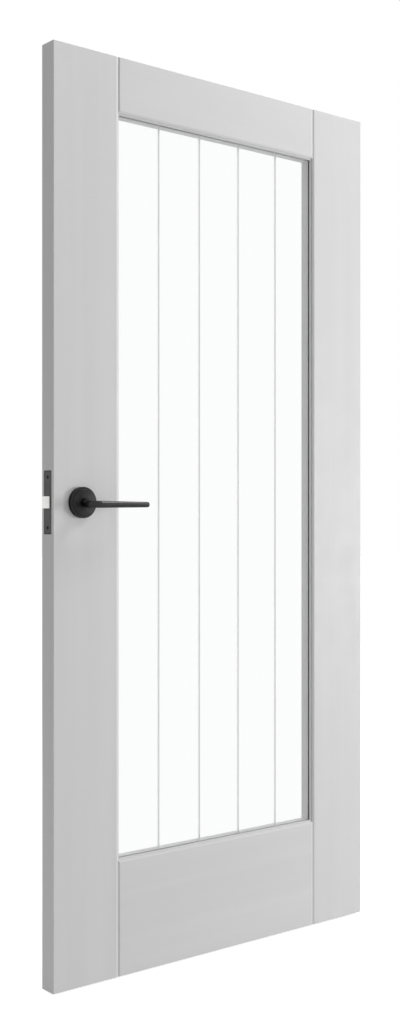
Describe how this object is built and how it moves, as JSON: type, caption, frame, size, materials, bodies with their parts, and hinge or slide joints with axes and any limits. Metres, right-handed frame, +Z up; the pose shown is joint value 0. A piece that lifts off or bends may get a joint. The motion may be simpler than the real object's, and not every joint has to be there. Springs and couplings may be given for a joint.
{
  "type": "glazed interior door",
  "caption": "Painted stile and rail interior door leaf with a tall glazed opening, lever handles on round roses, a mortice latch and butt hinges.",
  "frame": {"origin": "centre of the middle hinge's plate, on the face that lies on the frame's jamb", "axes": "+X from the latch edge to the hinge edge, -Y out of the front face, +Z up"},
  "size_m": [0.9321, 0.159, 1.981],
  "materials": {
    "painted_wood": "satin paint over a primed leaf",
    "clear_glass": "clear with V-cut lines",
    "handle_metal": "dark satin",
    "forend_metal": "dark satin",
    "bolt_metal": "bright nickel",
    "case_metal": "zinc plated",
    "hinge_metal": "satin"
  },
  "bodies": {
    "frame_side": {"hinge_top_frame_leaf": "hinge_metal", "hinge_middle_frame_leaf": "hinge_metal", "hinge_bottom_frame_leaf": "hinge_metal", "hinge_top_pin": "hinge_metal", "hinge_middle_pin": "hinge_metal", "hinge_bottom_pin": "hinge_metal"},
    "door": {"latch_stile": "painted_wood", "hinge_stile": "painted_wood", "top_rail": "painted_wood", "bottom_rail": "painted_wood", "front_bead_top": "painted_wood", "front_bead_bottom": "painted_wood", "front_bead_latch": "painted_wood", "front_bead_hinge": "painted_wood", "back_bead_top": "painted_wood", "back_bead_bottom": "painted_wood", "back_bead_latch": "painted_wood", "back_bead_hinge": "painted_wood", "glass_pane": "clear_glass", "rose_front": "handle_metal", "rose_back": "handle_metal", "latch_forend": "forend_metal", "latch_case": "case_metal", "hinge_top_door_leaf": "hinge_metal", "hinge_middle_door_leaf": "hinge_metal", "hinge_bottom_door_leaf": "hinge_metal"},
    "lever": {"lever_front": "handle_metal", "lever_back": "handle_metal", "spindle": "case_metal", "latch_follower": "case_metal"},
    "bolt": {"latch_bolt": "bolt_metal"}
  },
  "joints": [
    {"name": "door_swing", "type": "hinge", "parent": "frame_side", "child": "door", "pos_m": [-0.0045, 0.029, 0], "axis": [0, 0, -1], "range_deg": [0, 110]},
    {"name": "lever_turn", "type": "hinge", "parent": "door", "child": "lever", "pos_m": [-0.851, 0, -0.007], "axis": [0, 1, 0], "range_deg": [0, 32], "stiffness_Nm_per_rad": 0.8, "springref_deg": -57.3},
    {"name": "bolt_slide", "type": "slide", "parent": "door", "child": "bolt", "axis": [1, 0, 0], "range_m": [0, 0.0095]}
  ],
  "couplings": [
    {"joint": "bolt_slide", "follows": "lever_turn", "m_per_rad": 0.017}
  ]
}
